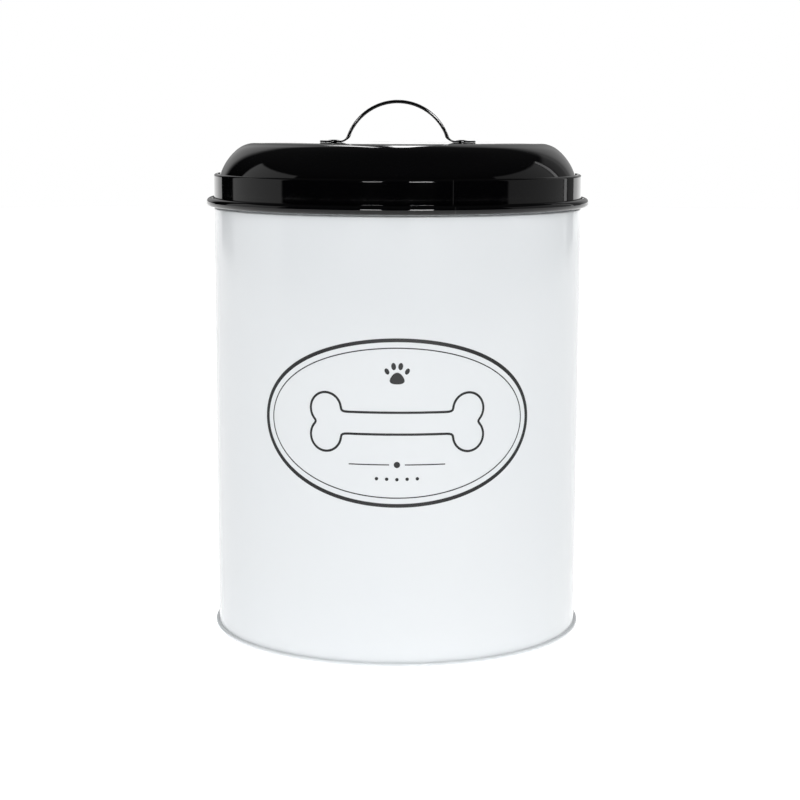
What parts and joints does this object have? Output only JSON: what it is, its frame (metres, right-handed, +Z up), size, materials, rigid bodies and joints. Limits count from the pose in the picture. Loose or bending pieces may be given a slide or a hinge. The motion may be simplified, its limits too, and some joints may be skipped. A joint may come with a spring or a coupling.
{
  "type": "pet food bin",
  "caption": "Round sheet-metal bin for dry pet food, with a slip-on domed lid that lifts off and a riveted strap handle.",
  "frame": {"origin": "centre of the flat ring that the bin stands on", "axes": "+Z up along the bin's own axis, -Y to the front, X along the handle's arch"},
  "size_m": [0.2608, 0.2608, 0.362],
  "materials": {
    "white_enamel": "glossy off-white baked coating on sheet steel",
    "black_enamel": "glossy black baked coating on sheet steel",
    "zinc_steel": "plain zinc-plated steel"
  },
  "bodies": {
    "bin": {"body_wall": "white_enamel", "base_pan": "white_enamel"},
    "lid": {"lid_dome": "black_enamel", "lid_band": "black_enamel", "handle_strap": "black_enamel", "rivet_left": "black_enamel", "rivet_right": "black_enamel", "rivet_washer_left": "zinc_steel", "rivet_washer_right": "zinc_steel"}
  },
  "joints": [
    {"name": "lid_lift", "type": "slide", "parent": "bin", "child": "lid", "axis": [0, 0, 1], "range_m": [0, 0.15]}
  ]
}
